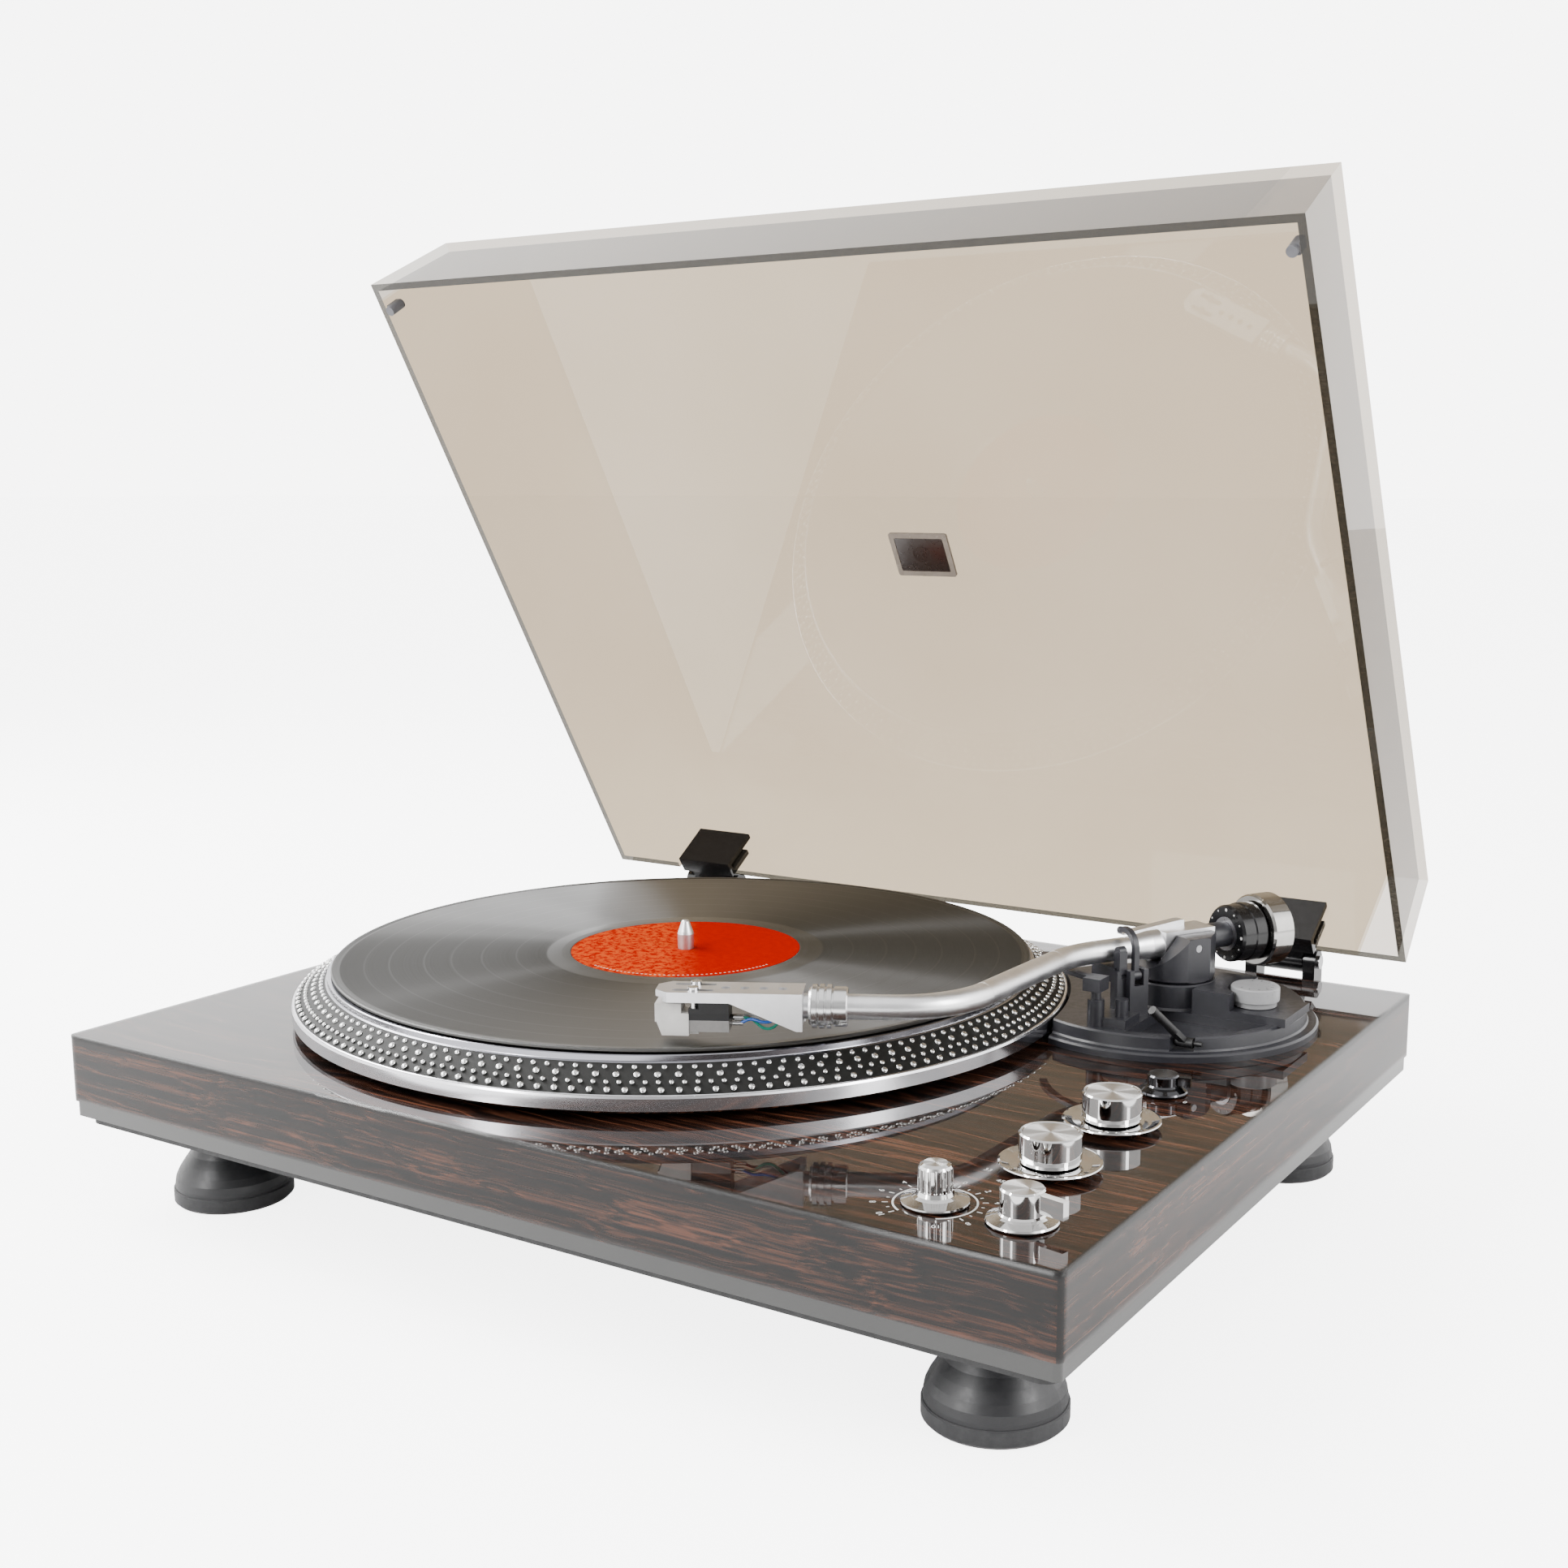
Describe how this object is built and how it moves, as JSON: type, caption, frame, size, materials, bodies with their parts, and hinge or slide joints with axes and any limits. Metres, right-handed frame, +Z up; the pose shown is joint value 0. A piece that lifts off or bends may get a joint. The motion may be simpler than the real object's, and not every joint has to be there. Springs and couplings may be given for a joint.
{
  "type": "turntable_record_player",
  "caption": "Belt-drive record player with a gloss rosewood plinth, silver S-shaped tonearm, strobe-edged platter and a smoked hinged lid, shown open.",
  "frame": {"origin": "middle of the whole outline with the lid open, on the floor under the feet", "axes": "+X to the right of the deck seen from the front, +Y to the back where the lid is hinged, +Z up"},
  "size_m": [0.45, 0.4, 0.4107],
  "materials": {
    "veneer": "gloss",
    "dark_lacquer": "gloss",
    "panel_black": "matte",
    "foot_charcoal": "matte",
    "foot_rubber": "matte",
    "screw_steel": "satin",
    "terminal_brass": "satin",
    "terminal_steel": "polished",
    "black_plastic": "satin",
    "platter_aluminium": "polished",
    "bearing_aluminium": "satin",
    "spindle_steel": "polished",
    "mat_rubber": "matte",
    "record_vinyl": "gloss",
    "label_paper": "satin",
    "motor_grey": "satin",
    "pulley_brass": "satin",
    "belt_rubber": "matte",
    "circuit_board": "gloss",
    "pot_steel": "satin",
    "knob_chrome": "satin",
    "bezel_chrome": "polished",
    "arm_graphite": "satin",
    "tube_silver": "satin",
    "shell_silver": "satin",
    "collar_chrome": "polished",
    "cartridge_grey": "satin",
    "stylus_ivory": "satin",
    "stylus_steel": "polished",
    "lead_wire": "satin",
    "weight_chrome": "polished",
    "sleeve_steel": "satin",
    "lid_smoke": "gloss",
    "badge_grey": "gloss",
    "bumper_rubber": "matte",
    "hinge_black": "gloss"
  },
  "bodies": {
    "deck": {"plinth_body": "veneer", "base_frame": "dark_lacquer", "base_panel": "panel_black", "feet": "foot_charcoal", "foot_pads": "foot_rubber", "panel_screws": "screw_steel", "rear_panel": "panel_black", "rca_jacks": "terminal_brass", "ground_post": "terminal_steel", "power_inlet": "black_plastic", "bearing_housing": "bearing_aluminium", "motor_body": "motor_grey", "drive_screws": "screw_steel", "drive_belt": "belt_rubber", "control_board": "circuit_board", "control_pots": "pot_steel", "speed_bezel": "bezel_chrome", "mode_bezel": "bezel_chrome", "arm_base": "arm_graphite", "arm_pedestal": "arm_graphite", "arm_rest": "arm_graphite", "hinge_bases": "hinge_black", "hinge_pins": "screw_steel"},
    "turntable": {"spindle_shaft": "spindle_steel", "platter": "platter_aluminium", "platter_mat": "mat_rubber", "record": "record_vinyl", "record_label": "label_paper"},
    "pulley": {"motor_pulley": "pulley_brass"},
    "pitch_control": {"pitch_knob": "knob_chrome"},
    "speed_control": {"speed_knob": "knob_chrome"},
    "mode_control": {"mode_knob": "knob_chrome"},
    "return_control": {"return_knob": "knob_chrome"},
    "cue_control": {"cue_knob": "knob_chrome"},
    "antiskate": {"antiskate_knob": "knob_chrome"},
    "yoke": {"yaw_housing": "arm_graphite", "pivot_screws": "terminal_steel"},
    "arm": {"arm_tube": "tube_silver", "arm_holder": "shell_silver", "headshell": "shell_silver", "headshell_screws": "terminal_steel", "cartridge_body": "cartridge_grey", "stylus_block": "stylus_ivory", "stylus_tip": "stylus_steel", "lead_wires": "lead_wire", "rear_shaft": "arm_graphite"},
    "collar": {"locking_collar": "collar_chrome"},
    "weight_carriage": {"weight_sleeve": "sleeve_steel"},
    "force_dial": {"dial_ring": "black_plastic"},
    "weight": {"counterweight": "weight_chrome"},
    "lift_lever": {"cue_lever": "black_plastic"},
    "lift": {"lift_rail": "arm_graphite"},
    "clip": {"rest_clip": "arm_graphite"},
    "cover": {"lid": "lid_smoke", "lid_badge": "badge_grey", "lid_bumpers": "bumper_rubber", "hinge_leaves": "hinge_black"},
    "rocker": {"power_rocker": "black_plastic"},
    "slide_switch": {"output_switch": "black_plastic"},
    "ground_cap": {"ground_nut": "terminal_steel"}
  },
  "joints": [
    {"name": "platter_spin", "type": "hinge", "parent": "deck", "child": "turntable", "pos_m": [-0.0455, -0.01784, 0.0943], "axis": [0, 0, 1], "continuous": true},
    {"name": "pulley_spin", "type": "hinge", "parent": "deck", "child": "pulley", "pos_m": [-0.13884, 0.0755, 0.0823], "axis": [0, 0, 1], "continuous": true},
    {"name": "pitch_turn", "type": "hinge", "parent": "deck", "child": "pitch_control", "pos_m": [0.1672, -0.17184, 0.0793], "axis": [0, 0, 1], "range_deg": [-150, 150]},
    {"name": "speed_turn", "type": "hinge", "parent": "deck", "child": "speed_control", "pos_m": [0.1848, -0.12594, 0.0793], "axis": [0, 0, 1], "range_deg": [-60, 60]},
    {"name": "mode_turn", "type": "hinge", "parent": "deck", "child": "mode_control", "pos_m": [0.1847, -0.07654, 0.0793], "axis": [0, 0, 1], "range_deg": [-90, 90]},
    {"name": "return_turn", "type": "hinge", "parent": "deck", "child": "return_control", "pos_m": [0.1977, -0.17174, 0.0793], "axis": [0, 0, 1], "range_deg": [-10, 95]},
    {"name": "cue_turn", "type": "hinge", "parent": "deck", "child": "cue_control", "pos_m": [0.1854, -0.03204, 0.0793], "axis": [0, 0, 1], "range_deg": [-30, 60]},
    {"name": "antiskate_turn", "type": "hinge", "parent": "deck", "child": "antiskate", "pos_m": [0.1875, 0.05846, 0.0893], "axis": [0, 0, 1], "range_deg": [-20, 280]},
    {"name": "arm_yaw", "type": "hinge", "parent": "deck", "child": "yoke", "pos_m": [0.15123, 0.06033, 0.1085], "axis": [0, 0, 1], "range_deg": [-30, 0]},
    {"name": "arm_pitch", "type": "hinge", "parent": "yoke", "child": "arm", "pos_m": [0.15123, 0.06033, 0.1085], "axis": [-0.8704, 0.4924, 0], "range_deg": [-0.1, 1.4]},
    {"name": "collar_turn", "type": "hinge", "parent": "arm", "child": "collar", "pos_m": [0.08868, -0.09783, 0.1085], "axis": [-0.8813, -0.4726, 0], "range_deg": [-5, 60]},
    {"name": "weight_turn", "type": "hinge", "parent": "weight_carriage", "child": "weight", "pos_m": [0.17171, 0.09653, 0.1085], "axis": [-0.4924, -0.8704, 0], "range_deg": [-180, 180]},
    {"name": "weight_travel", "type": "slide", "parent": "arm", "child": "weight_carriage", "axis": [-0.4924, -0.8704, 0], "range_m": [-0.001, 0.001]},
    {"name": "dial_turn", "type": "hinge", "parent": "weight_carriage", "child": "force_dial", "pos_m": [0.16679, 0.08783, 0.1085], "axis": [-0.4924, -0.8704, 0], "range_deg": [-180, 180]},
    {"name": "lift_lever_turn", "type": "hinge", "parent": "deck", "child": "lift_lever", "pos_m": [0.1758, 0.01266, 0.0807], "axis": [1, 0, 0], "range_deg": [0, 30]},
    {"name": "lift_travel", "type": "slide", "parent": "deck", "child": "lift", "axis": [0, 0, 1], "range_m": [-0.003, 0]},
    {"name": "clip_open", "type": "hinge", "parent": "deck", "child": "clip", "pos_m": [0.14658, 0.02998, 0.0999], "axis": [0.4924, 0.8704, 0], "range_deg": [0, 60]},
    {"name": "lid_hinge", "type": "hinge", "parent": "deck", "child": "cover", "pos_m": [0, 0.16616, 0.0801], "axis": [1, 0, 0], "range_deg": [-8, 59.8]},
    {"name": "rocker_tilt", "type": "hinge", "parent": "deck", "child": "rocker", "pos_m": [-0.034, 0.14996, 0.0573], "axis": [1, 0, 0], "range_deg": [0, 16]},
    {"name": "output_select", "type": "slide", "parent": "deck", "child": "slide_switch", "axis": [1, 0, 0], "range_m": [0, 0.004]},
    {"name": "ground_nut_turn", "type": "hinge", "parent": "deck", "child": "ground_cap", "pos_m": [-0.102, 0.15596, 0.0573], "axis": [0, 1, 0], "range_deg": [-90, 90]}
  ],
  "couplings": [
    {"joint": "pulley_spin", "follows": "platter_spin", "ratio": 10.889},
    {"joint": "weight_turn", "follows": "weight_travel", "rad_per_m": 3141.6},
    {"joint": "lift_lever_turn", "follows": "lift_travel", "rad_per_m": -174.53}
  ]
}
